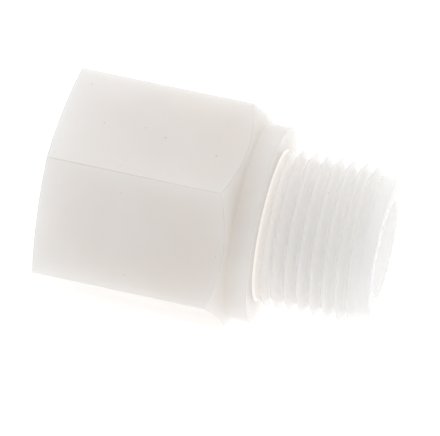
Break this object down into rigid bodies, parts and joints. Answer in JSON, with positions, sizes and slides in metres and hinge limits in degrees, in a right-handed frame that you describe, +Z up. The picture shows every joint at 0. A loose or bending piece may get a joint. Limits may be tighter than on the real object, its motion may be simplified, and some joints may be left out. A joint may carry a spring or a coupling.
{
  "type": "threaded reducing adapter",
  "caption": "Straight plastic reducing adapter: hexagonal end with a female thread, round collar, and a smaller male-threaded spigot with a flow bore.",
  "frame": {"origin": "on the flow axis, half-way between the female end face and the male end face", "axes": "+X along the flow axis towards the male end, +Z up with the part lying on one hexagon flat, +Y across the hexagon corners"},
  "size_m": [0.0346, 0.0254, 0.022],
  "materials": {
    "socket_plastic": "natural translucent white, satin",
    "spigot_plastic": "natural translucent white, satin"
  },
  "bodies": {
    "root": {"hex_socket": "socket_plastic", "male_spigot": "spigot_plastic"}
  },
  "joints": []
}
